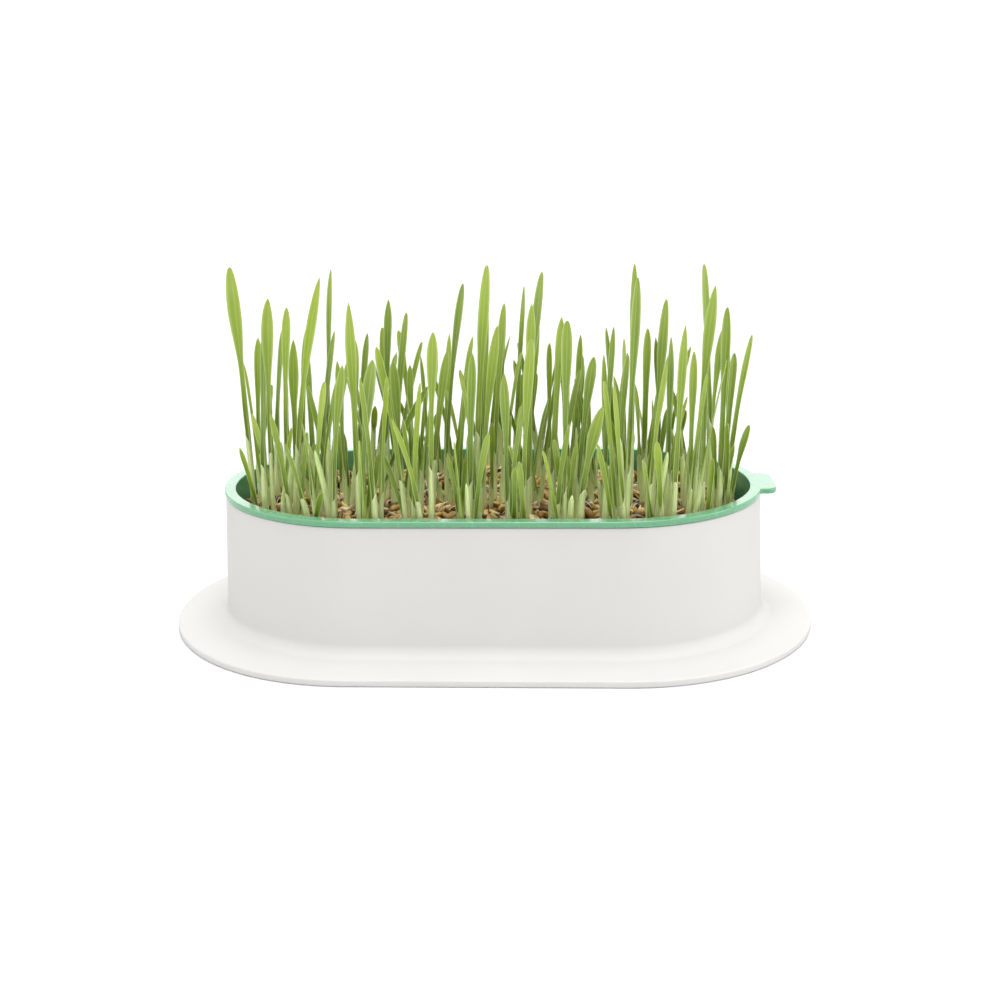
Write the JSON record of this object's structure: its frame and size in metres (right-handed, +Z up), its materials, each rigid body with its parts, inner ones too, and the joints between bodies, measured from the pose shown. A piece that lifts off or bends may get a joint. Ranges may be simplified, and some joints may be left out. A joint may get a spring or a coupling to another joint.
{
  "type": "wheatgrass tray",
  "caption": "Young wheatgrass growing in a green lift-out liner with a pull tab, set in a white oval planter on a wide thin foot.",
  "frame": {"origin": "centre of the foot's underside, on the surface the tray stands on", "axes": "+X along the length towards the liner's lifting tab, +Y to the back, +Z up along the grass"},
  "size_m": [0.279, 0.1576, 0.157],
  "materials": {
    "white_plastic": "smooth satin white",
    "green_plastic": "glossy mint green",
    "medium": "dark fibrous growing medium",
    "grain": "dry husks and sprouted grain",
    "grass": "soft green leaf, pale at the sheath"
  },
  "bodies": {
    "root": {"planter_body": "white_plastic", "liner_tray": "green_plastic", "growing_medium": "medium", "seed_bed": "grain", "tuft_01": "grass", "tuft_02": "grass", "tuft_03": "grass", "tuft_04": "grass", "tuft_05": "grass", "tuft_06": "grass", "tuft_07": "grass", "tuft_08": "grass", "tuft_09": "grass", "tuft_10": "grass", "tuft_11": "grass", "tuft_12": "grass", "tuft_13": "grass", "tuft_14": "grass", "tuft_15": "grass", "tuft_16": "grass", "tuft_17": "grass", "tuft_18": "grass", "tuft_19": "grass", "tuft_20": "grass", "tuft_21": "grass", "tuft_22": "grass", "tuft_23": "grass", "tuft_24": "grass", "tuft_25": "grass", "tuft_26": "grass", "tuft_27": "grass", "tuft_28": "grass", "tuft_29": "grass", "tuft_30": "grass", "tuft_31": "grass", "tuft_32": "grass", "tuft_33": "grass", "tuft_34": "grass", "tuft_35": "grass", "tuft_36": "grass", "tuft_37": "grass", "tuft_38": "grass", "tuft_39": "grass", "tuft_40": "grass", "tuft_41": "grass", "tuft_42": "grass", "tuft_43": "grass", "tuft_44": "grass", "tuft_45": "grass", "tuft_46": "grass", "tuft_47": "grass", "tuft_48": "grass", "tuft_49": "grass", "tuft_50": "grass"}
  },
  "joints": []
}
